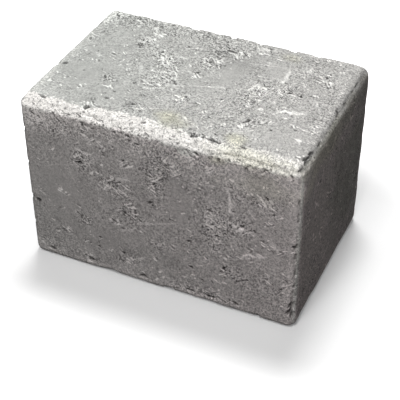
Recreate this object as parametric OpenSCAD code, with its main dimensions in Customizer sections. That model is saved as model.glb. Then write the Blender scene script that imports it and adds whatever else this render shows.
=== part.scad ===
// Tumbled concrete brick: one solid cast block with its edges and corners worn round.
// The block lies on its base. +X runs along its length, +Z is up, and the origin is the
// centre of the base.

/* [Block] */
// Length of the block, along X
block_length = 210; // [150:5:300]
// Width of the block, along Y
block_width = 140; // [100:5:200]
// Height of the block, along Z
block_height = 140; // [60:5:200]

/* [Wear] */
// Radius that tumbling has worn on the twelve edges and the eight corners
edge_radius = 6; // [1:0.5:15]

/* [Hidden] */
$fn = 64;
// Distance from the middle of the block to the centre of the rounding, along each axis
core = [block_length, block_width, block_height] / 2 - edge_radius * [1, 1, 1];
// Turn that carries +Z to each axis, for the rounded edges that run along it
along_axis = [[0, 90, 0], [-90, 0, 0], [0, 0, 0]];

// A slab as deep as the whole block along one axis, and as wide as the flat faces are
module slab(axis) {
    half = [for (i = [0:2]) core[i] + (i == axis ? edge_radius : 0)];
    cube(2 * half, center = true);
}

// The four rounded edges that run along one axis
module rounded_edges(axis) {
    across = [(axis + 1) % 3, (axis + 2) % 3];
    for (a = [-1, 1], b = [-1, 1]) {
        place = [for (i = [0:2]) i == across[0] ? a * core[i] : i == across[1] ? b * core[i] : 0];
        translate(place)
            rotate(along_axis[axis])
                cylinder(h = 2 * core[axis], r = edge_radius, center = true);
    }
}

// The eight rounded corners
module rounded_corners() {
    for (x = [-1, 1], y = [-1, 1], z = [-1, 1])
        translate([x * core[0], y * core[1], z * core[2]])
            sphere(r = edge_radius);
}

module brick() {
    color([0.66, 0.66, 0.64])
        translate([0, 0, block_height / 2])
            union() {
                for (axis = [0:2]) {
                    slab(axis);
                    rounded_edges(axis);
                }
                rounded_corners();
            }
}

brick();
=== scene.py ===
import itertools
import math

import bpy
import numpy as np
from mathutils import Matrix, Vector


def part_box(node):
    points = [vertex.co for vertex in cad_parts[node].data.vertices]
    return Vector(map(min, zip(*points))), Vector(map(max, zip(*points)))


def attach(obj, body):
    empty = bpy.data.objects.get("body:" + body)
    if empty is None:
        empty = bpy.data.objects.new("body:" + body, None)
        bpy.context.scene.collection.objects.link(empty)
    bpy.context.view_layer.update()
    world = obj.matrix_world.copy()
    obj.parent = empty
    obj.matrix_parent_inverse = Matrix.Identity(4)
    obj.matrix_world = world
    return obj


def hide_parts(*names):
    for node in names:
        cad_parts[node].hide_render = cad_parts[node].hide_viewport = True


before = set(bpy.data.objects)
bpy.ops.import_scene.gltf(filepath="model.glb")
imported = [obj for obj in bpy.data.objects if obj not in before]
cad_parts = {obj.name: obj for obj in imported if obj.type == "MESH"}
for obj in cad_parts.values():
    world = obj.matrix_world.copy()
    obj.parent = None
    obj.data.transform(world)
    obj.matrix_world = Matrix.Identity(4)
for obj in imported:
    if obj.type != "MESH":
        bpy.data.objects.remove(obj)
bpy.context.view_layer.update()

MM = 0.001
box_low, box_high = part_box("brick")
SIZE = np.array(box_high - box_low) / MM
MIDDLE = np.array(box_high + box_low) / 2 / MM
HALF = SIZE / 2


def cad_edge_radius():
    """How far the CAD brick's flat top stops short of its end."""
    corners = [vertex.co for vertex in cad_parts["brick"].data.vertices]
    flat_top = [corner.x for corner in corners if corner.z > box_high.z - 0.01 * MM]
    return (box_high.x - max(flat_top)) / MM


EDGE_RADIUS = cad_edge_radius()


# ---- Camera ----

CAMERA_AZIMUTH = 24.68
CAMERA_ELEVATION = 38.45
CAMERA_ROLL = -0.18
CAMERA_DISTANCE = 819
CAMERA_AIM = (8.6, -15.9, 47.3)
CAMERA_LENS = 99.62


def add_camera():
    turn = math.radians(CAMERA_AZIMUTH)
    rise = math.radians(CAMERA_ELEVATION)
    back = Vector((math.sin(turn) * math.cos(rise), -math.cos(turn) * math.cos(rise), math.sin(rise)))
    data = bpy.data.cameras.new("camera")
    data.lens = CAMERA_LENS
    data.sensor_width = 36
    camera = bpy.data.objects.new("camera", data)
    upright = (-back).to_track_quat("-Z", "Y").to_matrix().to_4x4()
    roll = Matrix.Rotation(math.radians(CAMERA_ROLL), 4, "Z")
    place = Matrix.Translation((Vector(CAMERA_AIM) + back * CAMERA_DISTANCE) * MM)
    camera.matrix_world = place @ upright @ roll
    bpy.context.collection.objects.link(camera)
    bpy.context.scene.camera = camera


# ---- Seeded noise ----

CELL_PRIMES = np.array([73856093, 19349663, 83492791])
SEED_PRIME = 40503
MIXER = 73244475
LOW_BITS = 0xFFFFFFFF


def lattice_values(cells, seed):
    """A fixed random number from -1 to 1 for each whole-numbered cell."""
    mixed = cells @ CELL_PRIMES + seed * SEED_PRIME
    for _ in range(2):
        mixed = (mixed ^ (mixed >> 15)) * MIXER & LOW_BITS
    return (mixed ^ (mixed >> 16)) / 2**31 - 1


def noise(points, wavelength, seed):
    """Smooth noise from -1 to 1 with lumps about a wavelength wide."""
    scaled = points / wavelength
    base = np.floor(scaled).astype(np.int64)
    part = scaled - base
    blend = part * part * (3 - 2 * part)
    total = np.zeros(len(points))
    for corner in itertools.product((0, 1), repeat=3):
        weight = np.prod(np.where(corner, blend, 1 - blend), axis=1)
        total += weight * lattice_values(base + corner, seed)
    return total


def layered_noise(points, wavelength, seed, layers=3):
    """Noise with finer and weaker layers added to it, about -1 to 1."""
    total = np.zeros(len(points))
    for layer in range(layers):
        total += noise(points, wavelength / 2**layer, seed + layer) / 2**layer
    return total / (2 - 2 ** (1 - layers)) * 1.5


def mixed_noise(points, parts, start=0.0):
    """start plus noises, each listed as a strength, a wavelength and a seed."""
    total = np.full(len(points), start)
    for strength, wavelength, seed in parts:
        total += strength * noise(points, wavelength, seed)
    return total


def smooth_step(low, high, values):
    """0 up to low, 1 from high, and an S-curve between them."""
    part = np.clip((values - low) / (high - low), 0, 1)
    return part * part * (3 - 2 * part)


def follow(course, values):
    """The values' heights on a course of (value, height) points."""
    return np.interp(values, *zip(*course))


# ---- The faces ----

ON_FACE = 1e-6  # how near a point of the sharp box is to a face that it is on


class Face:
    """A side of the brick. u runs to the right and v upwards when it is seen from outside."""

    def __init__(self, right, up):
        self.right = np.array(right)
        self.up = np.array(up)
        self.out = np.cross(right, up)
        self.corner = (self.out - self.right - self.up) * HALF
        self.width = abs(self.right @ SIZE)
        self.height = abs(self.up @ SIZE)

    def point(self, u, v):
        return self.corner + u * self.right + v * self.up

    def gap(self, points):
        """How far each point is from the plane of this face."""
        return abs(self.out @ HALF) - points @ self.out

    def points_on(self, points):
        """Which of the sharp box's points are on this face, and their u and v."""
        on = np.flatnonzero(self.gap(points) < ON_FACE)
        offset = points[on] - self.corner
        return on, offset @ self.right, offset @ self.up


FACES = {
    "front": Face((1, 0, 0), (0, 0, 1)),
    "top": Face((1, 0, 0), (0, 1, 0)),
    "right": Face((0, 1, 0), (0, 0, 1)),
    "back": Face((-1, 0, 0), (0, 0, 1)),
    "left": Face((0, -1, 0), (0, 0, 1)),
    "bottom": Face((1, 0, 0), (0, -1, 0)),
}


def edge_gap(points):
    """How far each point of the sharp box is from the nearest edge."""
    return np.sort(HALF - np.abs(points), axis=1)[:, 1]


# ---- Marks: pits, chips, scratches and pale flakes ----
# The front and the top carry the same marks, from the same mould. A mark is listed as u and v
# from the face's left and bottom edges, half length, half width, tilt, and a measure of its own.

# Depth
PITS = [
    (43.4, 47.8, 2.9, 0.9, -52, 1.4), (46.8, 45.6, 2.6, 0.8, -52, 1.2), (46.2, 97.2, 2.3, 1.6, 20, 1.7),
    (47.6, 94, 1.2, 1, 0, 1), (156.2, 38.8, 1.9, 1.6, 60, 1.8), (153.8, 35.4, 1.1, 0.9, 0, 0.9),
    (77.2, 25.2, 1.8, 1.3, 10, 1.4), (169.2, 81.2, 2.2, 1.3, 35, 1.4), (178.4, 80.2, 1.5, 1, -40, 1.1),
    (100.2, 79.2, 2, 1.2, 25, 1.3), (131.2, 31.4, 1.4, 1, 0, 1.1), (57.2, 24.4, 1.4, 1, 0, 1),
    (8.2, 52.2, 2.6, 1.8, 40, 1.1), (50.4, 132, 2.1, 1.1, 0, 1.2), (135.4, 131.6, 2.2, 1.1, -35, 1.2),
    (28.4, 132.6, 2.8, 0.8, -48, 1.1), (31.6, 129.2, 1.8, 0.8, -48, 0.9),
    (10.8, 129.4, 2.4, 0.9, -40, 1.1), (16.2, 127.4, 1.8, 0.8, -40, 0.9), (92.6, 126.4, 1.3, 1, 0, 0.9),
    (86.4, 127.8, 1.5, 0.9, 30, 0.9), (108.6, 116.4, 2.3, 0.9, -12, 1),
    (113.4, 115.6, 2.1, 0.8, -18, 0.9), (80.4, 109.4, 1.6, 1, 15, 1.1), (103.4, 96.2, 1.8, 1, 40, 1),
    (144.2, 87.4, 1.6, 0.8, 30, 0.9), (71, 53.4, 2.8, 0.8, -28, 0.9), (88.6, 62.8, 1.6, 0.8, 0, 0.9),
    (92.4, 60, 1.5, 0.8, -45, 0.9), (129.6, 54.6, 1.6, 0.8, 30, 0.9), (150.6, 66.8, 1.4, 0.9, 0, 1),
    (186.2, 110.6, 2.4, 0.8, -58, 1), (162.6, 92.2, 1.4, 0.9, 0, 0.9), (191.4, 98.8, 1.6, 0.8, 30, 0.9),
    (188.4, 41.2, 1.6, 0.7, 0, 0.8), (174, 34.8, 1.2, 0.9, 0, 0.9), (58.2, 33.6, 1.2, 0.8, 0, 0.8),
    (140, 22.4, 1.1, 0.7, 0, 0.7), (16.2, 8.4, 2.8, 1.7, -10, 1.3), (49.2, 8.8, 2.8, 2.3, -30, 1.8),
    (92.8, 8.6, 2.5, 1.7, 0, 1.4), (130, 8.6, 3.2, 1.5, 0, 1.5), (145.8, 8.8, 4.8, 1.3, -6, 1.5),
    (165, 9.6, 3, 1, -16, 1.2), (205.8, 15.8, 4, 1.9, 55, 1.9), (207, 23, 3.4, 1.5, 65, 1.7),
    (207.8, 75.4, 2.6, 1.6, 0, 1.8),
]

# More pits at the top's front right corner, and cuts along the front's worn band
EXTRA_PITS = {
    "top": [
        (206.2, 14.4, 2.2, 0.9, -20, 1.1), (206, 17.1, 2.8, 0.9, 58, 1.1), (208.4, 19, 1.4, 1.2, 0, 1),
        (209.4, 25, 1.8, 0.9, 60, 1), (207, 2, 3, 1.1, 70, 1),
    ],
    "front": [
        (47, 138, 3.3, 0.7, -40, 0.8), (60.4, 138.2, 2.9, 0.7, -40, 0.8), (65.3, 137.5, 2.4, 0.7, -38, 0.8),
        (51, 130.6, 1.3, 0.7, -25, 0.7), (78.8, 135.6, 2.8, 0.6, -27, 0.7),
        (99.3, 135.8, 2.6, 0.7, -32, 0.8), (34.2, 137, 1.6, 0.7, -35, 0.7),
    ],
}

# Points along the scratch, half width, depth, paleness
SCRATCHES = [
    ([(158.7, 109.4), (160, 104.2), (160.4, 97), (160, 91.2)], 1.4, 0.12, 1.25),
    ([(156.6, 118), (157.2, 113.8), (158.7, 109.4)], 0.7, 0.06, 0.6),
    ([(168.8, 52.8), (170.9, 56.2), (174, 58.8), (178.4, 59), (182.9, 59.8)], 1.2, 0.1, 1),
    ([(176.8, 58.4), (182.9, 59.8), (187.4, 61.1)], 1.6, 0.1, 1.25),
    ([(141.8, 72.2), (143.2, 77.6), (145.2, 83.4)], 1.2, 0.14, 1.05),
    ([(89.8, 57), (100.2, 60.4), (111.8, 64.6), (125.2, 69.2)], 0.6, 0.06, 0.75),
    ([(129.8, 106.2), (143.8, 108.8), (157.8, 111)], 0.5, 0.05, 0.7),
    ([(139.8, 92.2), (150, 93.8), (160.2, 95.2)], 0.5, 0.05, 0.6),
    ([(79.8, 19.8), (88.2, 23.4), (95.2, 27.2)], 0.9, 0.1, 1),
    ([(74, 46.2), (80.2, 47.6), (84.8, 49.6), (88.2, 52.4)], 1, 0.1, 0.9),
    ([(59.8, 72.2), (61.4, 67.8), (64.2, 60.2)], 1.2, 0.06, 0.5),
    ([(68.8, 55.2), (73.6, 53.2), (78.2, 51.2)], 0.7, 0.1, 1.05),
    ([(179.2, 112.4), (182.6, 109.4), (186.2, 104.2)], 0.8, 0.12, 1.4),
    ([(44.8, 109.2), (50.2, 107.6), (56.4, 107.2)], 0.9, 0.1, 1),
    ([(163, 72.4), (163.4, 68.2), (165.4, 63.6), (169.2, 58.8)], 0.65, 0.06, 0.75),
    ([(173.2, 97.2), (176, 93.8), (179.2, 90.2)], 0.7, 0.06, 0.8),
    ([(190.2, 78.4), (192.4, 73.4), (196.2, 68.2)], 0.7, 0.06, 0.8),
    ([(79.8, 106), (84.6, 108.8), (90.4, 110.2)], 0.9, 0.08, 1),
    ([(74.6, 92.6), (79.8, 93.8), (85.2, 93.4)], 1, 0.08, 1),
    ([(64.2, 83.4), (71.4, 83.2), (80.2, 81)], 0.9, 0.08, 0.9),
    ([(118, 118.6), (120.4, 111.8), (123.4, 105.8)], 0.7, 0.06, 0.75),
    ([(105.6, 115.8), (113.2, 113.6), (121, 109.4)], 0.8, 0.08, 0.85),
    ([(22, 88.4), (34.4, 92.6), (42.6, 94.4)], 0.5, 0.05, 0.5),
    ([(133.4, 33.2), (140.6, 36.6), (148.2, 41.4)], 0.6, 0.05, 0.6),
]

# Paleness. Beside pits these pale patches are also a painted highlight on the pit's lit lip.
FLAKES_AND_PAINTED_HIGHLIGHTS = [
    (46.2, 103.2, 5.6, 2.2, 8, 0.8), (50.6, 98.8, 2.6, 1.6, -35, 0.65),
    (155.2, 32.8, 1.9, 1.7, 0, 0.85), (153.4, 30.4, 1, 0.8, 0, 0.7), (45.2, 47, 2.2, 0.7, -52, 1),
    (47.8, 44.6, 2, 0.5, -52, 0.8), (48.6, 13.4, 2.2, 2, 0, 0.6), (124.6, 98, 0.9, 0.8, 0, 0.9),
    (191.4, 101, 1.8, 1.4, 30, 0.75), (183.2, 50.2, 0.9, 0.8, 0, 0.7), (132.4, 125, 3, 2.2, 10, 0.7),
    (124, 131, 4.2, 1.6, -25, 0.6), (136.2, 129.6, 1.6, 1, 30, 0.8), (167.8, 78.2, 2.4, 1.5, 30, 0.7),
    (178, 77.6, 1.2, 1.4, 0, 0.65), (102.4, 93.8, 2.2, 1.6, 30, 0.75), (98.2, 98.6, 2, 1.2, -20, 0.6),
    (75.8, 68.4, 2.6, 2, -40, 0.7), (80.8, 74.2, 3, 1.6, -30, 0.55), (70.2, 86.6, 3.4, 1.4, -20, 0.55),
    (98.4, 74.6, 2, 1.8, 0, 0.5), (144.4, 77.6, 1.2, 2.4, 0, 0.65), (149, 53.4, 2, 1.6, 0, 0.5),
    (103, 44.2, 2.4, 2.2, 0, 0.55), (59.4, 118.6, 4.6, 1, -30, 0.45), (50.4, 122, 3.4, 1.4, 5, 0.4),
    (189, 39.4, 2, 0.9, 0, 0.5), (142.4, 112.2, 1.2, 1.2, 0, 0.5), (202, 96.4, 1, 1.4, 0, 0.65),
]

# Chips that break an edge: distance from its left, front or bottom end, half length, reach, depth
CHIPS = {
    ("top", "back"): [
        (72.5, 5, 6.5, 2.6), (104.4, 3.6, 6.2, 2.1), (125.5, 4.4, 6.2, 2), (91, 3.2, 5.5, 1.4),
        (49, 3.8, 5.5, 1.3), (151, 4, 5.5, 1.4), (170, 3.4, 5.4, 1.1), (22, 3.6, 5, 1),
    ],
    ("top", "right"): [(14, 3.6, 4.6, 1.8), (21.5, 3.8, 4.4, 1.7), (5, 3.4, 4, 1.5), (74, 3, 2.6, 1.2)],
    ("top", "left"): [(52, 4.8, 5, 1.6), (62, 2.8, 4.4, 1.2), (112, 3.2, 4.4, 0.9)],
    ("front", "bottom"): [(66, 4.4, 4.6, 1.6), (112, 5, 4.4, 1.3), (182.6, 4.2, 4.6, 1.7)],
    ("front", "right"): [
        (13, 4, 3.2, 1.8), (22, 3.4, 2.8, 1.6), (52, 3.4, 2.2, 0.9), (68.6, 2.2, 2.2, 1.1),
        (75.4, 3, 2.6, 1.6), (113, 3, 2.2, 0.8),
    ],
    ("front", "left"): [
        (28, 3.2, 4.4, 1.2), (52, 3.8, 5, 1.6), (84, 2.8, 4.4, 1.1), (112, 2.6, 4.4, 1.1),
    ],
    ("right", "back"): [
        (14, 3.4, 5.4, 1.6), (36, 3, 5.4, 1.5), (49, 3.4, 5.4, 1.7), (66, 3, 5.2, 1.4),
        (92, 3.8, 5.2, 1.4), (112, 3.4, 5.2, 1.2),
    ],
    ("right", "bottom"): [(34, 5, 4.4, 1.4), (78, 4, 4.2, 1.3), (116, 4, 4.2, 1.3)],
}

# Change in how grainy the surface looks
ROUGHNESS = [
    (28, 127, 42, 12, 0, 0.45), (112, 128, 60, 9, 0, 0.4), (72, 84, 15, 10, -40, 0.55),
    (82, 62, 13, 13, -30, 0.55), (103, 97, 9, 14, 0, 0.5), (110, 116, 17, 10, 0, 0.55),
    (48, 102, 8, 10, 0, 0.6), (46, 47, 7, 7, 0, 0.6), (148, 70, 9, 18, 0, 0.55),
    (168, 80, 14, 9, 0, 0.4), (106, 44, 8, 8, 0, 0.45), (188, 104, 10, 11, 0, 0.35),
    (162, 38, 9, 8, 0, 0.45), (168, 108, 10, 10, 0, 0.3), (84, 20, 13, 7, 0, 0.4),
    (134, 9, 40, 5, 0, 0.4), (30, 66, 22, 40, 0, -0.45), (124, 88, 11, 20, 0, -0.35),
    (58, 32, 14, 12, 0, -0.2), (150, 104, 8, 10, 0, -0.25), (186, 70, 12, 30, 0, -0.15),
]

# Patches scattered with pale flecks
SCUFFS = [
    (48, 104, 9, 6, 10, 0.9), (54, 119, 12, 6, -15, 0.7), (50, 133, 4, 4, 0, 0.8),
    (72, 86, 16, 8, -35, 1), (84, 68, 10, 10, -40, 1), (74, 52, 9, 3, -28, 0.7), (83, 20, 8, 5, 0, 0.7),
    (104, 98, 8, 9, 0, 1), (84, 108, 8, 4, 10, 0.8), (116, 114, 14, 7, -15, 0.8),
    (101, 76, 5, 6, 0, 0.9), (104, 45, 6, 8, 0, 0.8), (150, 74, 8, 14, 10, 0.8),
    (169, 79, 9, 5, 0, 0.9), (155, 34, 5, 6, 0, 0.9), (187, 105, 9, 8, -40, 0.8),
    (176, 58, 10, 4, 20, 0.6), (133, 127, 10, 6, -20, 1), (134, 55, 6, 4, 0, 0.5),
    (178, 130, 12, 5, 0, 0.5), (198, 96, 5, 9, 0, 0.5), (190, 41, 8, 8, 0, 0.5),
    (202, 45, 5, 24, 0, 0.5), (14, 30, 5, 8, 0, 0.3), (48, 12, 7, 5, 0, 0.7), (96, 10, 12, 5, 0, 0.5),
    (140, 11, 22, 5, 0, 0.5),
]

# Paleness of each worn edge
EDGE_PALENESS = {
    ("top", "left"): 0.5, ("top", "right"): 0.02, ("top", "back"): 0.28, ("front", "right"): 0.32,
    ("front", "left"): 0.2, ("front", "bottom"): 0.56, ("right", "back"): 0.1, ("left", "back"): 0.2,
    ("right", "bottom"): 0.1, ("left", "bottom"): 0.1, ("back", "bottom"): 0.1,
}

# Random pits on the faces that the photo hides or shows dimly. Of other marks they get half as many.
SPARSE_FACES = {"right": 24, "back": 29, "left": 24, "bottom": 12}
MARK_MARGIN = 9  # how far they stay from the outline
MARK_SLIMNESS = 0.4, 0.8
MARK_TILT = -60, 60
SCRATCH_POINTS = 4
SCRATCH_STEP = 5
SCRATCH_TURN = 0.35  # the most that one turns at a point, in radians

CHIP_SPACING = 24  # of the small chips on an edge, beside CHIPS
CHIP_MARGIN = 5

BORDER_PITS = 46  # below the front's worn band
BORDER_MARGIN = 6
BORDER_DEPTH = 7.0, 2.4  # how far below the top, and how much that varies


def random_marks(dice, face, count):
    """Scattered pits, scratches, flakes and scuffs for a face."""
    furthest = np.array([face.width, face.height]) - MARK_MARGIN

    def ellipse(shortest, longest):
        length = dice.uniform(shortest, longest)
        u, v = dice.uniform(MARK_MARGIN, furthest)
        return u, v, length, length * dice.uniform(*MARK_SLIMNESS), dice.uniform(*MARK_TILT)

    def scratch():
        place = dice.uniform(MARK_MARGIN, furthest)
        heading = dice.uniform(0, 2 * math.pi)
        path = []
        for _ in range(SCRATCH_POINTS):
            path.append(place)
            step = SCRATCH_STEP * np.array([math.cos(heading), math.sin(heading)])
            place = np.clip(place + step, MARK_MARGIN, furthest)
            heading += dice.uniform(-SCRATCH_TURN, SCRATCH_TURN)
        return path, dice.uniform(0.5, 1.2), 0.08, dice.uniform(0.5, 1.1)

    pits = []
    for _ in range(count):
        pit = ellipse(0.9, 2.6)
        pits.append((*pit, pit[2] * 0.6))
    scratches = [scratch() for _ in range(count // 2)]
    flakes = [(*ellipse(1.0, 3.6), 0.8) for _ in range(count // 2)]
    scuffs = [(*ellipse(5, 15), dice.uniform(0.5, 1)) for _ in range(count // 2)]
    return pits, scratches, flakes, scuffs


def collect_marks():
    """The marks of each face: pits, scratches, flakes and scuffs."""
    dice = np.random.default_rng(11)
    marks = {}
    for name, face in FACES.items():
        if name in SPARSE_FACES:
            marks[name] = random_marks(dice, face, SPARSE_FACES[name])
        else:
            marks[name] = list(PITS), SCRATCHES, FLAKES_AND_PAINTED_HIGHLIGHTS, SCUFFS
    for name, pits in EXTRA_PITS.items():
        marks[name][0].extend(pits)
    front = FACES["front"]
    for _ in range(BORDER_PITS):
        u = dice.uniform(BORDER_MARGIN, front.width - BORDER_MARGIN)
        v = front.height - dice.normal(*BORDER_DEPTH)
        length = dice.uniform(0.6, 1.7)
        marks["front"][0].append((u, v, length, length * 0.5, dice.uniform(-65, 10), length * 0.5))
    return marks


def edge_chip(first, second, along, length, reach, depth):
    """A chip's middle, the direction of its edge, and its three measures."""
    first, second = FACES[first], FACES[second]
    direction = np.abs(np.cross(first.out, second.out))
    middle = (first.out + second.out) * HALF + direction * (along - HALF)
    return middle, direction, length, reach, depth


def collect_chips():
    """The chips in CHIPS and small random ones on every edge."""
    dice = np.random.default_rng(23)
    chips = [edge_chip(*edge, *chip) for edge, found in CHIPS.items() for chip in found]
    for first, second in EDGE_PALENESS:
        extent = np.abs(np.cross(FACES[first].out, FACES[second].out)) @ SIZE
        for _ in range(round(extent / CHIP_SPACING)):
            length = dice.uniform(1.2, 3.2)
            reach = dice.uniform(1.6, 2.8)
            along = dice.uniform(CHIP_MARGIN, extent - CHIP_MARGIN)
            chips.append(edge_chip(first, second, along, length, reach, reach * 0.3))
    return chips


MARKS = collect_marks()
EDGE_CHIPS = collect_chips()


# ---- Net of triangles ----

CELL = 4  # legs of the coarsest triangles
# The longest side wanted in each place
FLAT_SIDE = 2.9
EDGE_SIDE = 1.45
FLAKE_SIDE = 1.45
MARK_SIDE = 1.05  # round a scratch or a small chip
PIT_SIDE = 0.75
# How far the finer net reaches from an edge, from the crest and beyond each mark
EDGE_BAND = 6.5
CREST_BAND = 14
PIT_BORDER = 0.5
SCRATCH_BORDER = 0.3
CHIP_BORDER = 0.8
WIDE_CHIP = 4  # reach from which a chip needs no finer net than the edge


def box_net():
    """A coarse net over the sharp box: points, and triangles that start with their long side."""
    points = []
    triangles = []
    count = 0
    for face in FACES.values():
        columns, rows = round(face.width / CELL), round(face.height / CELL)
        row, column = np.mgrid[0:rows + 1, 0:columns + 1]
        u = (column * face.width / columns).ravel()
        v = (row * face.height / rows).ravel()
        points.append(face.point(u[:, None], v[:, None]))
        number = count + np.arange(u.size).reshape(rows + 1, columns + 1)
        count += u.size
        a, b = number[:-1, :-1].ravel(), number[:-1, 1:].ravel()
        d, c = number[1:, :-1].ravel(), number[1:, 1:].ravel()
        even = ((row + column)[:-1, :-1] % 2 == 0).ravel()
        rising = np.concatenate([np.stack([c, a, b], 1), np.stack([a, c, d], 1)])
        falling = np.concatenate([np.stack([b, d, a], 1), np.stack([d, b, c], 1)])
        triangles.append(np.where(np.tile(even, 2)[:, None], rising, falling))
    points, weld = np.unique(np.round(np.concatenate(points), 6), axis=0, return_inverse=True)
    return points, weld.ravel()[np.concatenate(triangles)]


def halve_long_sides(points, triangles, wanted_side):
    """Halves triangles at the middle of their long side until each is as short as wanted.
    A side is halved for both of its triangles, so the net stays closed."""
    while True:
        total = len(points)
        sides = np.sort(np.stack([triangles, np.roll(triangles, -1, axis=1)], axis=2), axis=2)
        keys, side_of = np.unique(sides[..., 0] * total + sides[..., 1], return_inverse=True)
        side_of = side_of.reshape(-1, 3)
        corners = points[triangles]
        long_side = np.linalg.norm(corners[:, 0] - corners[:, 1], axis=1)
        too_long = long_side > wanted_side(corners.mean(axis=1))
        if not too_long.any():
            return points, triangles
        halved = np.zeros(len(keys), bool)
        halved[side_of[too_long, 0]] = True
        while True:
            behind = halved[side_of].any(axis=1) & ~halved[side_of[:, 0]]
            if not behind.any():
                break
            halved[side_of[behind, 0]] = True
        number = np.full(len(keys), -1)
        number[halved] = total + np.arange(halved.sum())
        ends = points[keys[halved] // total], points[keys[halved] % total]
        points = np.concatenate([points, (ends[0] + ends[1]) / 2])
        middles = number[side_of]
        cut = middles[:, 0] >= 0
        first, second, third = triangles[cut].T
        middle, right_middle, left_middle = middles[cut].T
        parts = [triangles[~cut]]
        halves = ((third, first, middle, left_middle), (second, third, middle, right_middle))
        for start, end, apex, next_middle in halves:
            whole = next_middle < 0
            parts.append(np.stack([start, end, apex], 1)[whole])
            parts.append(np.stack([apex, start, next_middle], 1)[~whole])
            parts.append(np.stack([end, apex, next_middle], 1)[~whole])
        triangles = np.concatenate(parts)


def from_segment(points, start, end):
    """How far points are from a segment, and how far along it they are, from 0 to 1."""
    along = end - start
    part = np.clip((points - start) @ along / max(along @ along, 1e-9), 0, 1)
    return np.linalg.norm(points - start - part[:, None] * along, axis=1), part


def fine_spots():
    """Where marks need a fine net: (start, end, reach, longest side wanted)."""
    spots = []
    for name, (pits, scratches, flakes, _) in MARKS.items():
        face = FACES[name]
        for found, border, side in ((pits, PIT_BORDER, PIT_SIDE), (flakes, 0, FLAKE_SIDE)):
            for u, v, length, width, _, _ in found:
                place = face.point(u, v)
                spots.append((place, place, max(length, width) + border, side))
        for path, width, _, _ in scratches:
            for start, end in zip(path, path[1:]):
                spots.append((face.point(*start), face.point(*end), width + SCRATCH_BORDER, MARK_SIDE))
    for middle, direction, length, reach, _ in EDGE_CHIPS:
        side = MARK_SIDE if reach < WIDE_CHIP else EDGE_SIDE
        half = direction * length / 2
        spots.append((middle - half, middle + half, reach + CHIP_BORDER, side))
    return spots


def wanted_sides(spots):
    """A function for the longest side wanted at points of the sharp box."""
    def wanted(points):
        side = np.where(edge_gap(points) < EDGE_BAND, EDGE_SIDE, FLAT_SIDE)
        from_crest = np.maximum(FACES["top"].gap(points), FACES["front"].gap(points))
        side[from_crest < CREST_BAND] = EDGE_SIDE
        for start, end, reach, spot_side in spots:
            low = np.minimum(start, end) - reach
            high = np.maximum(start, end) + reach
            near = np.flatnonzero(((points > low) & (points < high)).all(axis=1))
            near = near[from_segment(points[near], start, end)[0] < reach]
            side[near] = np.minimum(side[near], spot_side)
        return side
    return wanted


# ---- Relief ----

# How ragged the outline of each kind of mark is, as a share of its size
RAGGEDNESS = {"pit": 0.5, "scratch": 0.5, "flake": 0.45, "scuff": 0.45, "zone": 0.35, "chip": 0.35}
# Where each kind starts and ends to fade: 0 is its middle and 1 is its outline
FADES = {"pit": (0.62, 1.08), "scratch": (0.1, 1.25), "flake": (0.45, 1.1), "scuff": (0.25, 1.15),
         "zone": (0.4, 1.3), "chip": (0.6, 1.1), "patch": (0.1, 1.2)}
SCRATCH_SWELL = 1.15  # how much wider than listed a scratch is in its middle
SCRATCH_TAPER = 1.6
SCRATCH_BREAKS = 0.5  # how much the paleness varies along it
CHIP_PAINTED_SHADE = 0.55  # how dark the painted shade in an edge chip is, beside that in a pit
FULLY_SHADED_CHIP = 3.4  # reach up to which it holds all of that painted shade
CHIP_SEARCH = 1.5  # how far beyond its listed size a ragged chip may reach

# Noise in the relief: strength, wavelength, seed
EDGE_WEAR = [(0.42, 21, 7), (0.36, 8, 8), (0.25, 3, 9)]
EDGE_WAVES = [(1, 13, 31), (0.5, 6, 32)]
CREST_WAVES = [(0.5, 10, 33)]
SKIN_SWELL = [(0.05, 31, 20), (0.035, 9, 21)]
SKIN_DEPTH = 0.04  # how far the plain skin lies under the CAD surface
MEAN_WEAR = 0.2  # how much is worn off an edge beside that noise
MOST_ROUNDNESS = 1.3  # limit of the extra wear on a corner, where an edge has 1
MEAN_WAVE = 0.25
MOST_WAVE = 1.3
WAVE_DEPTH = 0.5
WAVE_REACH = 11  # from an edge
# Shares of the wear and of the waves, by the distance from the left and from the back
WEAR_FROM_LEFT = [(0, 0.3), (30, 1)]
WEAR_FROM_BACK = [(0, 0.4), (30, 1)]
WAVES_FROM_LEFT = [(0, 0.4), (30, 1)]

# The crest is the edge between the top and the front, the rim the one between top and right
CREST_WORN = 6.1  # legs of the flat worn on the crest
CREST_ROUGH = 0.35  # how ragged the flat is
CREST_UNEVEN = [(0, 1), (90, 1), (130, 2.2)]  # how uneven, by the distance from the left
CREST_ROUNDING = 1.3  # how deep the crest is rounded beside its flat
CREST_DOWN = 6  # how far that reaches down the front, and back on the top
CREST_BACK = 15
RIM_DEPTH = 0.8
RIM_REACH = 10
CORNER_DEPTH = 1.2  # how much deeper the corner between them is worn
CORNER_REACH = 20


def rounded(points):
    """Points of the sharp box carried onto the rounded one, and the way out at each."""
    core = HALF - EDGE_RADIUS
    inner = np.clip(points, -core, core)
    out = points - inner
    out /= np.linalg.norm(out, axis=1)[:, None]
    return inner + EDGE_RADIUS * out, out


def ellipse_distance(u, v, mark):
    """0 in the middle of an elliptical mark and 1 on its outline."""
    middle_u, middle_v, length, width, tilt, _ = mark
    tilt = math.radians(tilt)
    along = (u - middle_u) * math.cos(tilt) + (v - middle_v) * math.sin(tilt)
    across = (v - middle_v) * math.cos(tilt) - (u - middle_u) * math.sin(tilt)
    return np.hypot(along / length, across / width)


def scratch_distance(u, v, path):
    """How far points are from a scratch, and how far along it they are, from 0 to 1."""
    path = np.array(path)
    best = np.full(len(u), np.inf)
    part_along = np.zeros(len(u))
    for number, (start, end) in enumerate(zip(path, path[1:])):
        gap, part = from_segment(np.stack([u, v], 1), start, end)
        part_along = np.where(gap < best, (number + part) / (len(path) - 1), part_along)
        best = np.minimum(gap, best)
    return best, part_along


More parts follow.
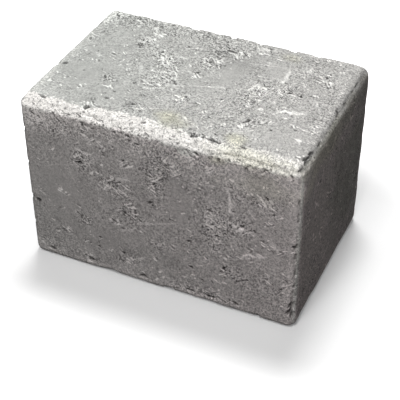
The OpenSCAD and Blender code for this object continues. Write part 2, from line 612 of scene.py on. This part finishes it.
def ragged_gap(kind, gap, unevenness):
    return gap * (1 + RAGGEDNESS[kind] * unevenness)


def cover(kind, gap):
    """1 where a mark of this kind covers a point fully, and 0 outside it."""
    return 1 - smooth_step(*FADES[kind], gap)


def bowl(gap):
    return np.sqrt(np.clip(1 - gap**2, 0, 1))


def hump(gap):
    """1 at a gap of 0, and gently down to 0 at a gap of 1."""
    return np.clip(1 - gap**2, 0, 1)**2


def raise_to(values, on, others):
    """Raises some of the values to the others, where those are higher."""
    values[on] = np.maximum(values[on], others)


def add_face_marks(marked, sharp, ragged, coarse):
    for name, (pits, scratches, flakes, scuffs) in MARKS.items():
        on, u, v = FACES[name].points_on(sharp)
        for pit in pits:
            gap = ragged_gap("pit", ellipse_distance(u, v, pit), ragged[on])
            raise_to(marked["cut"], on, pit[-1] * bowl(gap))
            # the pit's darkness is painted shade
            raise_to(marked["painted_cavity_shade"], on, cover("pit", gap))
        for path, width, depth, strength in scratches:
            gap, part = scratch_distance(u, v, path)
            width = width * (SCRATCH_SWELL - SCRATCH_TAPER * (part - 0.5)**2)
            inside = cover("scratch", ragged_gap("scratch", gap / width, ragged[on]))
            raise_to(marked["cut"], on, depth * inside)
            broken = np.clip(0.95 + SCRATCH_BREAKS * coarse[on], 0.4, 1.25)
            raise_to(marked["bright"], on, strength * inside * broken)
        for flake in flakes:
            gap = ragged_gap("flake", ellipse_distance(u, v, flake), ragged[on])
            # pale flakes; beside pits also a painted highlight on the lit lip
            raise_to(marked["flaked_and_painted_highlights"], on, flake[-1] * cover("flake", gap))
        for patch in scuffs:
            gap = ragged_gap("scuff", ellipse_distance(u, v, patch), coarse[on])
            raise_to(marked["scuff"], on, patch[-1] * cover("scuff", gap))
        if name not in SPARSE_FACES:
            for zone in ROUGHNESS:
                gap = ragged_gap("zone", ellipse_distance(u, v, zone), coarse[on])
                marked["rough"][on] += zone[-1] * cover("zone", gap)


def add_edge_chips(marked, sharp, ragged):
    for middle, direction, length, reach, depth in EDGE_CHIPS:
        around = np.abs(sharp - middle) < CHIP_SEARCH * max(length, reach)
        on = np.flatnonzero(around.all(axis=1))
        offset = sharp[on] - middle
        along = offset @ direction
        across = np.linalg.norm(offset - along[:, None] * direction, axis=1)
        gap = ragged_gap("chip", np.hypot(along / length, across / reach), ragged[on])
        raise_to(marked["cut"], on, depth * bowl(gap))
        # the chip's darkness is painted shade
        chip_shade = CHIP_PAINTED_SHADE * min(1, FULLY_SHADED_CHIP / reach)**2
        raise_to(marked["painted_cavity_shade"], on, chip_shade * cover("chip", gap))


def edge_wear(sharp, out, gaps):
    """How much is worn off the edges, and off the faces in waves beside them."""
    roundness = (1 - np.abs(out).max(axis=1)) / (1 - math.sqrt(0.5))
    wear = mixed_noise(sharp, EDGE_WEAR, MEAN_WEAR)
    wear *= follow(WEAR_FROM_LEFT, gaps["left"]) * follow(WEAR_FROM_BACK, gaps["back"])
    waves = np.clip(mixed_noise(sharp, EDGE_WAVES, MEAN_WAVE), 0, MOST_WAVE)
    waves *= WAVE_DEPTH * (1 - smooth_step(0, WAVE_REACH, edge_gap(sharp)))
    waves *= follow(WAVES_FROM_LEFT, gaps["left"])
    return np.maximum(wear, 0) * np.clip(roundness, 0, MOST_ROUNDNESS) + waves


def extra_wear(sharp, points, out, gaps, ragged):
    """How much more is worn off the crest, the rim and the corner between them."""
    crest = CREST_ROUNDING * hump(np.maximum(gaps["top"] / CREST_DOWN, gaps["front"] / CREST_BACK))
    crest_out = (FACES["top"].out + FACES["front"].out) / math.sqrt(2)
    uneven = follow(CREST_UNEVEN, gaps["left"])
    legs = CREST_WORN + uneven * (mixed_noise(sharp, CREST_WAVES) + CREST_ROUGH * ragged)
    above_flat = points @ crest_out - (np.abs(crest_out) @ HALF - legs / math.sqrt(2))
    crest = np.maximum(crest, above_flat / np.maximum(out @ crest_out, 0.5))
    rim = RIM_DEPTH * hump(np.maximum(gaps["top"], gaps["right"]) / RIM_REACH)
    from_corner = np.hypot(np.hypot(gaps["top"], gaps["front"]), gaps["right"])
    return crest + rim + CORNER_DEPTH * hump(from_corner / CORNER_REACH)


def worn_surface(sharp):
    """The worn brick's points, and what the material needs to know at each of them."""
    points, out = rounded(sharp)
    gaps = {name: face.gap(sharp) for name, face in FACES.items()}
    ragged = layered_noise(sharp, 2.4, 101)
    coarse = layered_noise(sharp, 9, 105)
    marked = {name: np.zeros(len(sharp)) for name in ("cut", "bright", "flaked_and_painted_highlights", "painted_cavity_shade")}
    marked["scuff"] = 0.35 * np.clip(layered_noise(sharp, 26, 150) - 0.15, 0, 1)
    marked["rough"] = 0.42 + 0.25 * layered_noise(sharp, 38, 140)
    add_face_marks(marked, sharp, ragged, coarse)
    add_edge_chips(marked, sharp, ragged)

    rough = np.clip(marked["rough"], 0, 1)
    tooth = (0.02 + 0.03 * rough) * noise(sharp, 4.2, 22)
    depth = marked["cut"] + edge_wear(sharp, out, gaps) + extra_wear(sharp, points, out, gaps, ragged)
    depth += SKIN_DEPTH - mixed_noise(sharp, SKIN_SWELL) - tooth
    points = points - out * np.maximum(depth, 0)[:, None]

    pale, band = edge_paleness_and_highlight(sharp, gaps)
    filled = np.clip(np.maximum(marked["bright"], marked["flaked_and_painted_highlights"]), 0, 1)
    looks = {name: marked[name] for name in ("bright", "flaked_and_painted_highlights", "scuff")}
    looks["pale"] = pale
    looks["painted_cavity_shade"] = marked["painted_cavity_shade"] * (1 - 0.8 * filled)
    looks["rough"] = rough + 0.2 * band
    looks["stain"] = patches(sharp, STAINS)
    # dirt on the left and back, and painted shade on the right face's rear
    looks["grime_and_painted_shade"] = patches(sharp, GRIME_AND_PAINTED_SHADE)
    # soft patches, some of them painted light and shade, and the rim's painted shade
    looks["shade"] = patches(sharp, SHADES) + painted_rim_shade(sharp, gaps)
    # brownness, partly a painted tint of the light by the way each face points
    looks["warmth_and_painted_light_tint"] = warmth_and_painted_light_tint(sharp, out, gaps, band)
    return points, looks


# ---- Paleness, brownness, painted light and shade, and soft patches ----

# How brown the faces are in the middle, and how much browner at the right; the difference between faces is
# a painted tint of the light
TOP_BROWN = 0.14, 0.14
SIDE_BROWN = 0.62, 0.16
LEFT_BROWN = 0.45
BAND_BROWN = 0.25
RIGHT_TOP_BROWN = 0.55
RIGHT_BROWN = 1.0
RIGHT_BROWN_FADE = 4, 24  # below its top

# Painted shade that darkens the rim, by the distance from the front, and where it fades
RIM_PAINTED_SHADE = [(20, 0.4), (50, 0.28)]
RIM_FADE = 1.5, 7.5

# Where the worn band ends: distances along the crest and from it
BAND_ON_TOP = [(0, 12.5), (12, 9.5), (30, 10.5), (45, 7.5), (58, 10.5), (68, 12), (90, 12.5),
               (110, 11.5), (128, 8.5), (146, 8.5), (156, 14), (166, 9.5), (180, 11), (210, 12)]
BAND_ON_FRONT = [(0, 9), (20, 6.8), (40, 6.1), (60, 6.2), (90, 6.4), (115, 6.3), (120, 7),
                 (124, 11.5), (132, 12), (137, 7), (150, 6.6), (180, 6.4), (210, 5.9)]
BAND_END = -0.7, 0.8  # how sharply it ends
# How uneven its end is, by the distance from the left
UNEVEN_ON_FRONT = [(0, 0.8), (90, 0.8), (130, 1.8)]
UNEVEN_ON_TOP = 2
# How pale it is, by the distance from the crest and by that from the left. Close to the crest it is paler
# still: a painted highlight on the rounded edge, on top of the worn colour.
BAND_FADE_ON_TOP = [(2.5, 1.7), (4.5, 0.98), (8, 0.82), (16, 0.75)]
BAND_FADE_ON_FRONT = [(1.5, 1), (3, 1.25), (5, 1.15), (8, 1.05)]
BAND_ALONG = [(0, 1.05), (30, 1.17), (80, 1.17), (130, 1.02), (155, 0.76), (180, 0.76), (210, 0.86)]
# The same for the dust under the band on the front
DUST_FADE = [(6, 0.66), (9, 0.54), (13, 0.35), (20, 0.22), (30, 0)]
DUST_ALONG = [(0, 1.05), (60, 1.05), (140, 0.85), (210, 0.75)]
EDGE_FADE = 4, 11  # of the paleness of the other edges


def mixed(first, second, share):
    return first + (second - first) * share


def warmth_and_painted_light_tint(sharp, out, gaps, band):
    """How brown the concrete is: least on the top and most on the right. Where it goes by the way each face
    points, it is a painted tint of the light.
    """
    rightness = sharp[:, 0] / HALF[0]
    top = TOP_BROWN[0] + TOP_BROWN[1] * rightness
    side = SIDE_BROWN[0] + SIDE_BROWN[1] * rightness
    down = smooth_step(*RIGHT_BROWN_FADE, gaps["top"])
    end = np.where(rightness > 0, mixed(RIGHT_TOP_BROWN, RIGHT_BROWN, down), LEFT_BROWN)
    brown = mixed(top, side, smooth_step(0.45, 0.9, np.abs(out[:, 1])))
    brown = mixed(brown, end, smooth_step(0.9, 1.0, np.abs(out[:, 0])))
    brown = mixed(brown, BAND_BROWN, np.clip(band, 0, 1))
    return brown + 0.04 * noise(sharp, 45, 160)


def painted_rim_shade(sharp, gaps):
    """Painted shade that makes the rim darker, most at the front."""
    from_rim = np.maximum(gaps["top"], gaps["right"]) + 1.5 * layered_noise(sharp, 7, 68)
    darkness = follow(RIM_PAINTED_SHADE, gaps["front"])
    return -darkness * (1 - smooth_step(*RIM_FADE, from_rim))


def edge_paleness_and_highlight(sharp, gaps):
    """How pale the wear has left each point, with a painted highlight along the crest, and its share of the
    most worn band.
    """
    patchy = layered_noise(sharp, 9, 60)
    fine = layered_noise(sharp, 2.6, 64)
    along = gaps["left"]
    on_top = gaps["top"] < ON_FACE
    on_front = (gaps["front"] < ON_FACE) & ~on_top
    from_crest = np.where(on_top, gaps["front"], gaps["top"])
    end = np.where(on_top, follow(BAND_ON_TOP, along), follow(BAND_ON_FRONT, along))
    unevenness = np.where(on_top, UNEVEN_ON_TOP, follow(UNEVEN_ON_FRONT, along))
    ragged = from_crest + unevenness * patchy + 1.4 * fine
    band = 1 - smooth_step(*BAND_END, ragged - end)
    # paler still close to the crest: a painted highlight
    band *= np.where(on_top, follow(BAND_FADE_ON_TOP, ragged), follow(BAND_FADE_ON_FRONT, ragged))
    band *= follow(BAND_ALONG, along)
    band[~(on_top | on_front)] = 0
    dusty = follow(DUST_FADE, from_crest + 2 * patchy) * follow(DUST_ALONG, along)
    pale = np.maximum(band, dusty * on_front)
    for (first, second), strength in EDGE_PALENESS.items():
        gap = np.maximum(gaps[first], gaps[second]) + 1.5 * patchy + fine
        patch = np.clip(strength * (1 + 0.7 * noise(sharp, 23, 70)), 0, 1)
        pale = np.maximum(pale, patch * (1 - smooth_step(*EDGE_FADE, gap)))
    return pale, band


# Olive stains, with their strength
STAINS = {
    "top": [
        (108, 21, 20, 10, -15, 0.95), (155, 16, 10, 7, 0, 0.9), (168, 4, 34, 7, 0, 0.55),
        (155, 125, 8, 6, 0, 0.5),
    ],
    "front": [(152, 131, 12, 5, 0, 0.8), (170, 137, 36, 7, 0, 0.55), (185, 120, 32, 14, 0, 0.35)],
    "right": [(60, 128, 90, 16, 0, 0.6), (50, 66, 80, 80, 0, 0.15)],
    "back": [(60, 100, 18, 12, 20, 0.5)],
    "left": [(80, 60, 16, 10, -30, 0.4)],
}

# Soft paler and darker places, with their share of the brightness. Those near the right face's top and the
# one on the left face are painted light and shade.
SHADES = {
    "shared": [
        (112, 107, 28, 16, 0, -0.15), (75, 28, 13, 10, 0, -0.12), (117, 32, 11, 9, 0, -0.15),
        (178, 128, 15, 9, 0, -0.15), (96, 82, 10, 11, 0, -0.12), (7, 132, 18, 16, 0, 0.42),
        (180, 57, 10, 8, 0, 0.12), (8, 13, 13, 11, 0, 0.2), (54, 107, 11, 11, 0, 0.1),
        (159, 84, 10, 10, 0, 0.09),
    ],
    "top": [(158, 26, 15, 11, 0, 0.2), (184, 1, 30, 3, 0, -0.2)],
    "front": [
        (150, 137, 14, 4, 0, -0.25), (184, 139, 28, 3.5, 0, -0.3), (64, 131, 10, 3.5, 0, -0.15),
        (105, 6, 115, 18, 0, 0.14),
    ],
    # The first three are painted light and shade: lighter at the front corner under the rim, darker towards
    # the back
    "right": [
        (4, 122, 26, 13, 0, 0.3), (60, 124, 80, 11, 0, 0.1), (100, 130, 60, 16, 0, -0.14),
        (60, 2, 80, 20, 0, 0.1),
    ],
    # Painted shade beside the front's left edge, where the rounding turns away from the light
    "left": [(138, 68, 6, 76, 0, -0.4)],
}

# Dark patches, with their strength: on the right face a painted shade that darkens it towards the back, on
# the left and back faces damp dirt
GRIME_AND_PAINTED_SHADE = {
    "right": [(112, 68, 60, 78, 0, 1)],
    "left": [(40, 30, 50, 26, 0, 0.35)],
    "back": [(150, 24, 60, 18, 0, 0.35)],
}


def patches(sharp, spots):
    """How strongly soft ragged patches cover each point, added up."""
    ragged = layered_noise(sharp, 14, 80, layers=4)
    total = np.zeros(len(sharp))
    for name, face in FACES.items():
        on, u, v = face.points_on(sharp)
        shared = [] if name in SPARSE_FACES else spots.get("shared", [])
        for spot in shared + spots.get(name, []):
            gap = ellipse_distance(u, v, spot) + 0.45 * ragged[on]
            total[on] += spot[-1] * cover("patch", gap)
    return total


def add_brick():
    sharp, triangles = halve_long_sides(*box_net(), wanted_sides(fine_spots()))
    points, looks = worn_surface(sharp)
    print("brick:", len(triangles), "triangles")
    mesh = bpy.data.meshes.new("brick_body")
    mesh.vertices.add(len(points))
    mesh.vertices.foreach_set("co", ((points + MIDDLE) * MM).ravel())
    mesh.loops.add(triangles.size)
    mesh.loops.foreach_set("vertex_index", triangles.ravel())
    mesh.polygons.add(len(triangles))
    mesh.polygons.foreach_set("loop_start", np.arange(0, triangles.size, 3))
    for name, values in looks.items():
        layer = mesh.attributes.new(name, "FLOAT", "POINT")
        layer.data.foreach_set("value", values)
    mesh.update()
    mesh.validate()
    mesh.shade_smooth()
    brick = bpy.data.objects.new("brick_body", mesh)
    bpy.context.collection.objects.link(brick)
    brick.data.materials.append(concrete())
    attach(brick, "root")
    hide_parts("brick")


# ---- Materials ----

class Nodes:
    """Adds and links the nodes of a material. A value is a number, a tuple or an output."""

    # The numbers of a Mix node's inputs and of its output, for each type of data
    MIX_SOCKETS = {"FLOAT": (0, 2, 3, 0), "RGBA": (0, 6, 7, 2)}

    def __init__(self, tree):
        self.tree = tree

    def put(self, socket, value):
        if isinstance(value, bpy.types.NodeSocket):
            self.tree.links.new(value, socket)
        else:
            socket.default_value = value

    def add(self, kind, settings=None, **values):
        node = self.tree.nodes.new("ShaderNode" + kind)
        for name, setting in (settings or {}).items():
            setattr(node, name, setting)
        for name, value in values.items():
            self.put(node.inputs[name.replace("_", " ")], value)
        return node

    def math(self, operation, *values, kind="Math"):
        node = self.add(kind, {"operation": operation})
        for socket, value in zip(node.inputs, values):
            self.put(socket, value)
        return node.outputs[0]

    def vector(self, operation, *values):
        return self.math(operation, *values, kind="VectorMath")

    def scaled(self, vector, factor):
        return self.add("VectorMath", {"operation": "SCALE"}, Vector=vector, Scale=factor).outputs[0]

    def product(self, first, *others):
        for other in others:
            first = self.math("MULTIPLY", first, other)
        return first

    def weighted(self, total, weights, values):
        for name, weight in weights.items():
            total = self.math("MULTIPLY_ADD", values[name], weight, total)
        return total

    def step(self, value, low, high, start=0.0, end=1.0):
        """start up to low, end from high, and an S-curve between them."""
        limits = {"From_Min": low, "From_Max": high, "To_Min": start, "To_Max": end}
        return self.add("MapRange", {"interpolation_type": "SMOOTHSTEP"}, Value=value, **limits).outputs[0]

    def mix(self, factor, first, second, kind="FLOAT", blend="MIX"):
        node = self.add("Mix", {"data_type": kind, "blend_type": blend})
        *inputs, output = self.MIX_SOCKETS[kind]
        for number, value in zip(inputs, (factor, first, second)):
            self.put(node.inputs[number], value)
        return node.outputs[output]

    def attribute(self, name):
        return self.add("Attribute", {"attribute_name": name}).outputs["Fac"]


CONCRETE = (0.437, 0.440, 0.424)
OLIVE = (0.46, 0.45, 0.34)
GRIME_AND_SHADE_COLOUR = (0.280, 0.266, 0.247)
COOL_TINT = (0.992, 1.0, 0.991)
WARM_TINT = (1.125, 1.0, 1.030)
DUST_TINT = (1.012, 1.0, 0.995)
STAIN_COVER = 0.6  # how much of the concrete's colour a full stain hides
SPECULAR = 0.04

# Noise: wavelength in millimetres, detail, roughness, and a shift where two would be alike
FIELDS = {
    "drift": (4, 2, 0.5), "cloud": (12, 4, 0.6), "grain": (1.75, 2, 0.8), "lumps": (1.3, 2, 0.6),
    "streaks": (7, 3, 0.6), "strokes": (1.55, 1, 0.5), "stroke direction": (8, 1, 0.5),
    "stroke places": (6, 2, 0.5, (-40, 12, 9)), "flecks": (1.7, 1, 0.5, (31, 17, 5)),
    "specks": (1.5, 1, 0.5, (7, -23, 61)), "worn rim": (2.6, 2, 0.6),
}
# The values at which marks start and at which they are full
STEPS = {
    "lumps": (0.47, 0.53), "stroke direction": (0.46, 0.54), "stroke places": (0.59, 0.69),
    "pale strokes": (0.54, 0.62), "grooves with painted shade": (0.45, 0.36), "flecks": (0.67, 0.74),
    "specks": (0.755, 0.815), "worn": (0.64, 0.76), "facing": (0.5, 0.8),
}
# What adds to a field where its marks are more common
MORE = {"stroke places": {"scuff": 0.3}, "flecks": {"scuff": 0.1}, "specks": {"pale": 0.062, "rough": 0.08}}
# Factors that depend on one detail: its name, its weight and what is added
FACTORS = {
    "contrast": ("rough", 1.18, 0.25), "flecks on sides": ("sideways", -0.6, 1),
    "flecks in rough": ("rough", 1, 0.1), "strokes on top": ("on top", -0.2, 1.28),
    "grain in pale": ("grain", 1.6, 1), "specks": ("specks", -0.55, 1),
    "painted_cavity_shade": ("painted_cavity_shade", -0.75, 1), "shade": ("shade", 1, 1), "finish": ("grain", 0.5, 0.86),
}
# What each detail adds to the grain, to the tone and to the height
GRAIN_TONE = {"grain": 2.3, "lumps": 0.65}
GRAIN_HEIGHT = {"grain": 0.2, "lumps": 0.05}
TONE = {
    "texture": 1, "cloud": 0.45, "flecks": 0.45, "bright strokes": 1, "grooves with painted shade": -0.45,
    "broken pale": 0.66, "bright": 0.65, "flaked_and_painted_highlights": 0.22, "side streaks": 0.35,
}
HEIGHT = {"relief": 1, "specks": -0.2, "pale strokes": 0.06, "grooves with painted shade": -0.06}
PLAIN_TONE = 0.99  # the tone without any of them, where 1 is the concrete's own colour
TONE_RANGE = 0.12, 2.15
BEND = 5  # how far drift bends the grain, in millimetres
SWAY = 1.9  # how far it bends the strokes
STREAK_SHAPE = (1, 1, 0.2)
STROKE_SHAPE = (6.5, 1, 1)
# The two ways the strokes run on the front, the top and the sides
STROKE_TURNS = [[(0, -36, 0), (0, 28, 0)], [(0, 0, -52), (0, 0, -12)], [(0, -36, 90), (0, 28, 90)]]
WORN_STROKES = 0.62  # how much paleness shows of the dark, painted-shade strokes
WORN_RAGGED = 0.9  # how ragged the outline of the worn places is
DUST_MOST = 0.52  # the most paleness outside them
WORN_LEAST = 1.05  # the least paleness inside them


def field(nodes, name, vector, output=0):
    """One of the FIELDS, from 0 to 1, or its colour."""
    wavelength, detail, roughness, *shift = FIELDS[name]
    if shift:
        vector = nodes.vector("ADD", vector, *shift)
    settings = {"Scale": 1 / wavelength, "Detail": detail, "Roughness": roughness}
    return nodes.add("TexNoise", Vector=vector, **settings).outputs[output]


def centred(nodes, name, vector):
    return nodes.math("SUBTRACT", field(nodes, name, vector), 0.5)


def marks(nodes, name, vector, found):
    high = nodes.weighted(field(nodes, name, vector), MORE.get(name, {}), found)
    return nodes.step(high, *STEPS[name])


def factor(nodes, name, found):
    detail, weight, start = FACTORS[name]
    return nodes.math("MULTIPLY_ADD", found[detail], weight, start)


def strokes(nodes, vector, turns, direction):
    """Thin strokes in one of two directions: pale ones, and beside them dark ones, which are painted shade.
    """
    fields = []
    for turn in turns:
        turned = nodes.add("Mapping", {"vector_type": "TEXTURE"}, Vector=vector, Scale=STROKE_SHAPE,
                           Rotation=[math.radians(angle) for angle in turn])
        fields.append(field(nodes, "strokes", turned.outputs[0]))
    both = nodes.mix(direction, *fields)
    return [nodes.step(both, *STEPS[name]) for name in ("pale strokes", "grooves with painted shade")]


def add_strokes(nodes, found, place, drift, bent):
    """Adds the strokes, where scuffs, flakes and wear show them."""
    swayed = nodes.vector("ADD", place, nodes.scaled(drift, SWAY))
    direction = marks(nodes, "stroke direction", place, found)
    kinds = zip(*[strokes(nodes, swayed, turns, direction) for turns in STROKE_TURNS])
    pale, shaded_grooves = [
        nodes.mix(found["sideways"], nodes.mix(found["on top"], on_front, above), beside)
        for on_front, above, beside in kinds
    ]
    shown = nodes.math("MAXIMUM", marks(nodes, "stroke places", bent, found), found["flaked_and_painted_highlights"])
    worn = nodes.math("MAXIMUM", shown, nodes.product(found["pale"], WORN_STROKES))
    found["pale strokes"] = nodes.product(pale, shown)
    found["bright strokes"] = nodes.product(found["pale strokes"], factor(nodes, "strokes on top", found))
    # the dark ones are painted shade beside the pale ones, and shallow grooves in the bump
    found["grooves with painted shade"] = nodes.product(shaded_grooves, worn)


def broken_paleness(nodes, found, bent):
    """The paleness, with a ragged step up where it is worn through."""
    ragged = centred(nodes, "worn rim", bent)
    worn = nodes.step(nodes.math("MULTIPLY_ADD", ragged, WORN_RAGGED, found["pale"]), *STEPS["worn"])
    dusty = nodes.math("MINIMUM", found["pale"], DUST_MOST)
    bare = nodes.math("MAXIMUM", found["pale"], WORN_LEAST)
    return nodes.product(nodes.mix(worn, dusty, bare), factor(nodes, "grain in pale", found))


def concrete_details(nodes):
    """The details of the concrete, by name."""
    names = ("rough", "scuff", "pale", "flaked_and_painted_highlights", "bright", "painted_cavity_shade", "shade")
    found = {name: nodes.attribute(name) for name in names}
    space = nodes.add("TexCoord")
    place = nodes.scaled(space.outputs["Object"], 1 / MM)
    drift = nodes.vector("SUBTRACT", field(nodes, "drift", place, "Color"), (0.5, 0.5, 0.5))
    bent = nodes.vector("ADD", place, nodes.scaled(drift, BEND))
    outward = nodes.add("SeparateXYZ", Vector=space.outputs["Normal"])
    found["on top"] = nodes.step(outward.outputs["Z"], *STEPS["facing"])
    found["sideways"] = nodes.step(nodes.math("ABSOLUTE", outward.outputs["X"]), *STEPS["facing"])

    found["cloud"] = centred(nodes, "cloud", place)
    found["grain"] = centred(nodes, "grain", bent)
    found["lumps"] = marks(nodes, "lumps", bent, found)
    contrast = factor(nodes, "contrast", found)
    mean_lumps = GRAIN_TONE["lumps"] / 2
    found["texture"] = nodes.product(nodes.weighted(-mean_lumps, GRAIN_TONE, found), contrast)
    found["relief"] = nodes.product(nodes.weighted(0, GRAIN_HEIGHT, found), contrast)
    streaks = centred(nodes, "streaks", nodes.vector("MULTIPLY", place, STREAK_SHAPE))
    found["side streaks"] = nodes.product(streaks, found["sideways"])
    flecks = [factor(nodes, name, found) for name in ("flecks on sides", "flecks in rough")]
    found["flecks"] = nodes.product(marks(nodes, "flecks", bent, found), *flecks)
    found["specks"] = marks(nodes, "specks", bent, found)
    add_strokes(nodes, found, place, drift, bent)
    found["broken pale"] = broken_paleness(nodes, found, bent)
    return found


def concrete_tint(nodes, pale):
    """The colour of the concrete at a tone of 1, with a painted tint of the light and painted shade on the
    right face.
    """
    # the warm tint is partly the light's colour, painted by the way each face points
    tint = nodes.mix(nodes.attribute("warmth_and_painted_light_tint"), (*COOL_TINT, 1), (*WARM_TINT, 1), "RGBA")
    base = nodes.mix(1.0, (*CONCRETE, 1), tint, "RGBA", "MULTIPLY")
    base = nodes.mix(pale, base, (*DUST_TINT, 1), "RGBA", "MULTIPLY")
    base = nodes.mix(nodes.product(nodes.attribute("stain"), STAIN_COVER), base, (*OLIVE, 1), "RGBA")
    # dark dirt, and painted shade on the right face's rear
    return nodes.mix(nodes.attribute("grime_and_painted_shade"), base, (*GRIME_AND_SHADE_COLOUR, 1), "RGBA")


def concrete():
    """Weathered grey concrete with pale scuffs and edges, a painted highlight along the crest and painted
    shade in its pits.
    """
    material = bpy.data.materials.new("concrete")
    material.use_nodes = True
    nodes = Nodes(material.node_tree)
    found = concrete_details(nodes)
    tone = nodes.weighted(PLAIN_TONE, TONE, found)
    # dark specks, painted shade in pits and chips, and the soft patches with the rim's painted shade
    tone = nodes.product(tone, *[factor(nodes, name, found) for name in ("specks", "painted_cavity_shade", "shade")])
    tone = nodes.math("MINIMUM", nodes.math("MAXIMUM", tone, TONE_RANGE[0]), TONE_RANGE[1])
    finish = nodes.math("MINIMUM", factor(nodes, "finish", found), 1.0)
    bump = nodes.add("Bump", Height=nodes.weighted(0, HEIGHT, found), Distance=MM, Strength=1)
    shader = material.node_tree.nodes["Principled BSDF"]
    nodes.put(shader.inputs["Base Color"], nodes.scaled(concrete_tint(nodes, found["pale"]), tone))
    nodes.put(shader.inputs["Roughness"], finish)
    nodes.put(shader.inputs["Normal"], bump.outputs[0])
    shader.inputs["Specular IOR Level"].default_value = SPECULAR
    return material


# ---- Floor, lamps and world ----

FLOOR_RADIUS = 3000
FLOOR_SIDES = 96
FLOOR_GLOW = 0.18  # how bright the camera sees the floor in full shadow
FLOOR_CAMERA = 0.80  # what the lamps add to it, as the camera sees it
FADE_START = 30  # how far from the brick the floor starts to fade to white
FADE_END = 120
FLOOR_BOUNCE = 0.10  # how much light the floor throws back on the brick
SKY = 0.025
# name, place, size, power in watts, all white and aimed at the brick's middle
LAMPS = [
    ("key", (-230, 700, 2600), (580, 580), 42.6),
    ("front", (90, -620, 950), (300, 400), 6.6),
    ("side", (520, -430, 300), (250, 250), 0.25),
    ("fill", (-800, 700, 500), (400, 400), 1.5),
]


def light_path(nodes):
    """1 where the camera looks, straight or by a mirror or glass, and 0 for light that bounces."""
    path = nodes.add("LightPath")
    seen = nodes.math("MAXIMUM", path.outputs["Is Camera Ray"], path.outputs["Is Glossy Ray"])
    return nodes.math("MAXIMUM", seen, path.outputs["Is Transmission Ray"])


def add_floor():
    """A pale floor. It fades to the white of the world away from the brick."""
    material = bpy.data.materials.new("floor")
    material.use_nodes = True
    nodes = Nodes(material.node_tree)
    shader = material.node_tree.nodes["Principled BSDF"]
    seen = light_path(nodes)
    place = nodes.add("TexCoord").outputs["Object"]
    reach = nodes.vector("SUBTRACT", nodes.vector("ABSOLUTE", place), (*HALF[:2] * MM, 0.0))
    reach = nodes.vector("MAXIMUM", reach, (0.0, 0.0, 0.0))
    away = nodes.add("VectorMath", {"operation": "LENGTH"}, Vector=reach).outputs["Value"]
    glow = nodes.step(away, FADE_START * MM, FADE_END * MM, FLOOR_GLOW, 1.0)
    shade = nodes.math("MULTIPLY_ADD", seen, FLOOR_CAMERA - FLOOR_BOUNCE, FLOOR_BOUNCE)
    nodes.put(shader.inputs["Base Color"], nodes.scaled((1.0, 1.0, 1.0), shade))
    shader.inputs["Roughness"].default_value = 1.0
    shader.inputs["Specular IOR Level"].default_value = 0.0
    shader.inputs["Emission Color"].default_value = (1, 1, 1, 1)
    nodes.put(shader.inputs["Emission Strength"], nodes.product(seen, glow))
    bpy.ops.mesh.primitive_circle_add(vertices=FLOOR_SIDES, radius=FLOOR_RADIUS * MM, fill_type="NGON")
    floor = bpy.context.object
    floor.name = "floor"
    floor.location.z = box_low.z
    floor.data.materials.append(material)


def add_lamps():
    target = Vector(MIDDLE) * MM
    for name, place, size, power in LAMPS:
        data = bpy.data.lights.new(name, "AREA")
        data.shape = "RECTANGLE"
        data.size, data.size_y = size[0] * MM, size[1] * MM
        data.energy = power
        lamp = bpy.data.objects.new(name, data)
        lamp.location = Vector(place) * MM
        lamp.rotation_euler = (target - lamp.location).to_track_quat("-Z", "Y").to_euler()
        bpy.context.collection.objects.link(lamp)


def add_world():
    world = bpy.data.worlds.new("studio")
    bpy.context.scene.world = world
    world.use_nodes = True
    nodes = Nodes(world.node_tree)
    background = world.node_tree.nodes["Background"]
    background.inputs["Color"].default_value = (1, 1, 1, 1)
    strength = nodes.math("MULTIPLY_ADD", light_path(nodes), 1 - SKY, SKY)
    nodes.put(background.inputs["Strength"], strength)


add_camera()
add_brick()
add_floor()
add_lamps()
add_world()
bpy.context.scene.view_settings.view_transform = "Standard"
